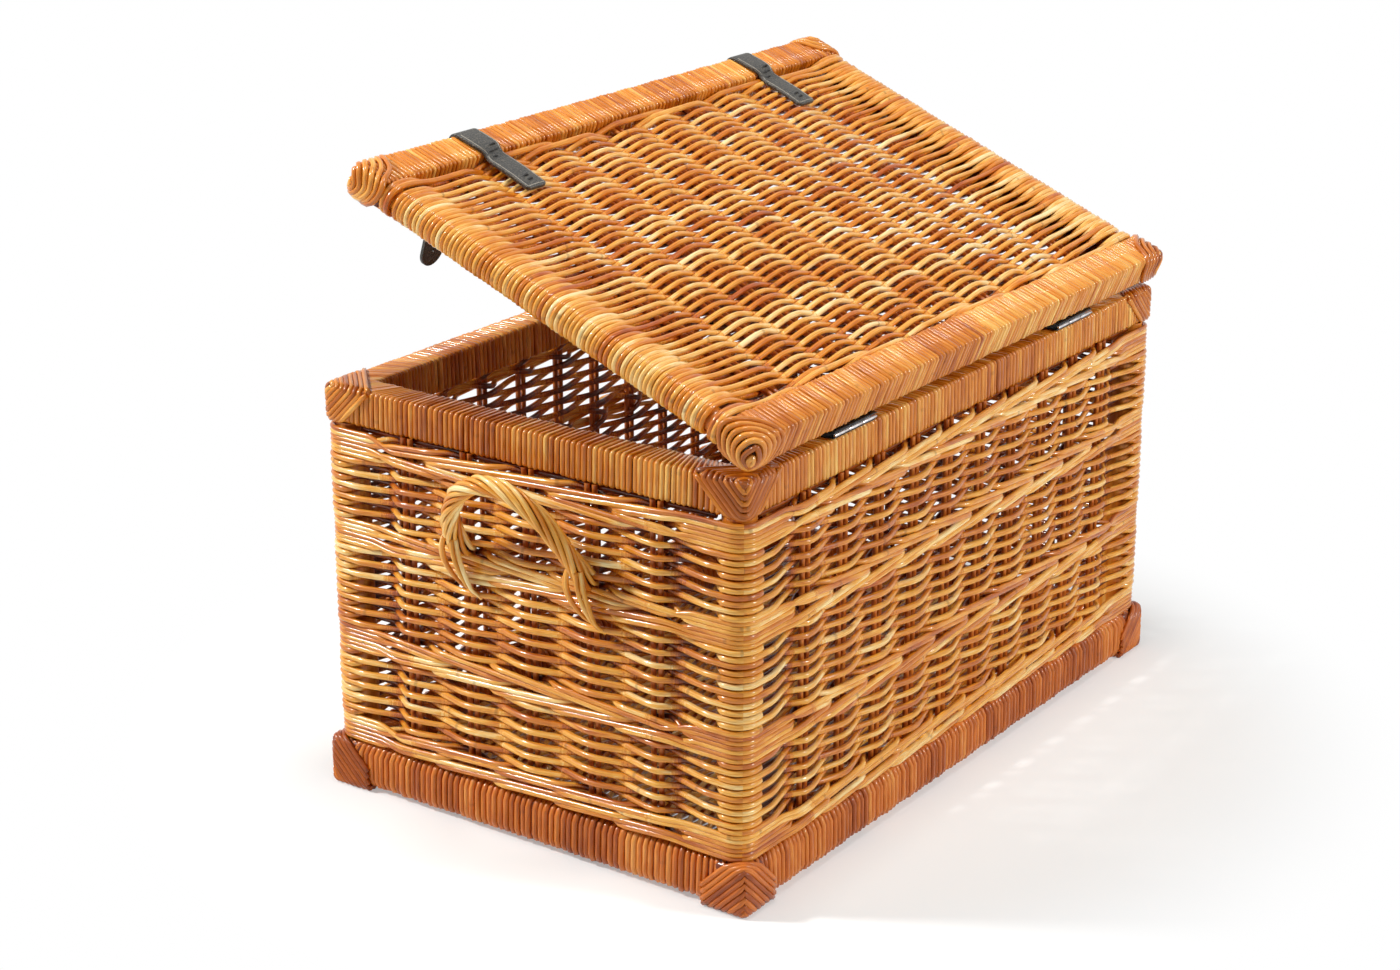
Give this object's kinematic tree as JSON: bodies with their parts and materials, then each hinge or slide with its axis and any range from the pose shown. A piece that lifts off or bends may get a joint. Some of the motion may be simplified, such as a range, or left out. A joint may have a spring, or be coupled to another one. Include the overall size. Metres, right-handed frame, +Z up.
{
  "type": "wicker hamper with hinged lid",
  "caption": "Rectangular woven wicker hamper with wrapped frame bars, corner knots, a hinged lid with leather straps and rope-twist end handles.",
  "frame": {"origin": "centre of the footprint, on the floor that the four base knots stand on", "axes": "+Z up, +X along the length, +Y towards the hinged rear side, so the straps hang on the -Y side"},
  "size_m": [0.6764, 0.3916, 0.4925],
  "materials": {
    "base_wrap": "varnished cane binding, reddish brown, satin",
    "rim_wrap": "varnished cane binding, amber, gloss",
    "knot_wrap": "varnished cane binding, amber brown, gloss",
    "stake_rod": "varnished rod, brown, satin",
    "weaver_rod": "varnished peeled rod, honey orange, gloss",
    "waling_rod": "varnished peeled rod, honey orange, gloss",
    "handle_rod": "varnished twisted rods, honey, gloss",
    "strap_leather": "grained black leather, satin",
    "black_steel": "black japanned steel, semi-gloss",
    "bright_steel": "plain steel"
  },
  "bodies": {
    "body": {"base_bar_front": "base_wrap", "rim_bar_front": "rim_wrap", "stakes_front": "stake_rod", "weave_front": "weaver_rod", "wales_front": "waling_rod", "base_bar_rear": "base_wrap", "rim_bar_rear": "rim_wrap", "stakes_rear": "stake_rod", "weave_rear": "weaver_rod", "wales_rear": "waling_rod", "base_bar_left": "base_wrap", "rim_bar_left": "rim_wrap", "stakes_left": "stake_rod", "weave_left": "weaver_rod", "wales_left": "waling_rod", "base_bar_right": "base_wrap", "rim_bar_right": "rim_wrap", "stakes_right": "stake_rod", "weave_right": "weaver_rod", "wales_right": "waling_rod", "base_knot_front_left": "base_wrap", "rim_knot_front_left": "knot_wrap", "base_knot_front_right": "base_wrap", "rim_knot_front_right": "knot_wrap", "base_knot_rear_left": "base_wrap", "rim_knot_rear_left": "knot_wrap", "base_knot_rear_right": "base_wrap", "rim_knot_rear_right": "knot_wrap", "corner_posts": "stake_rod", "base_sticks": "stake_rod", "base_weave": "weaver_rod", "handle_left": "handle_rod", "hinge_body_leaf_left": "black_steel", "handle_right": "handle_rod", "hinge_body_leaf_right": "black_steel", "hinge_pins": "bright_steel", "hinge_body_screws": "bright_steel", "closure_studs": "black_steel"},
    "lid": {"lid_knot_front_left": "knot_wrap", "lid_knot_front_right": "knot_wrap", "lid_knot_rear_left": "knot_wrap", "lid_knot_rear_right": "knot_wrap", "hinge_lid_leaf_left": "black_steel", "lid_pole_left": "stake_rod", "lid_strap_left": "strap_leather", "hinge_lid_leaf_right": "black_steel", "lid_pole_right": "stake_rod", "lid_strap_right": "strap_leather", "hinge_lid_screws": "bright_steel", "lid_bar_front": "rim_wrap", "lid_bar_rear": "rim_wrap", "lid_stakes": "stake_rod", "lid_weave": "weaver_rod", "lid_wales": "waling_rod", "strap_rivets": "black_steel"},
    "tail_left": {"strap_tail_left": "strap_leather"},
    "tail_right": {"strap_tail_right": "strap_leather"}
  },
  "joints": [
    {"name": "lid_hinge", "type": "hinge", "parent": "body", "child": "lid", "pos_m": [0, 0.188, 0.324], "axis": [-1, 0, 0], "range_deg": [-22, 128]},
    {"name": "tail_left_bend", "type": "hinge", "parent": "lid", "child": "tail_left", "pos_m": [-0.18, -0.16029, 0.46634], "axis": [-1, 0, 0], "range_deg": [-78, 14]},
    {"name": "tail_right_bend", "type": "hinge", "parent": "lid", "child": "tail_right", "pos_m": [0.176, -0.16029, 0.46634], "axis": [-1, 0, 0], "range_deg": [-78, 14]}
  ],
  "couplings": [
    {"joint": "tail_left_bend", "follows": "lid_hinge", "ratio": -0.6},
    {"joint": "tail_right_bend", "follows": "lid_hinge", "ratio": -0.6}
  ]
}
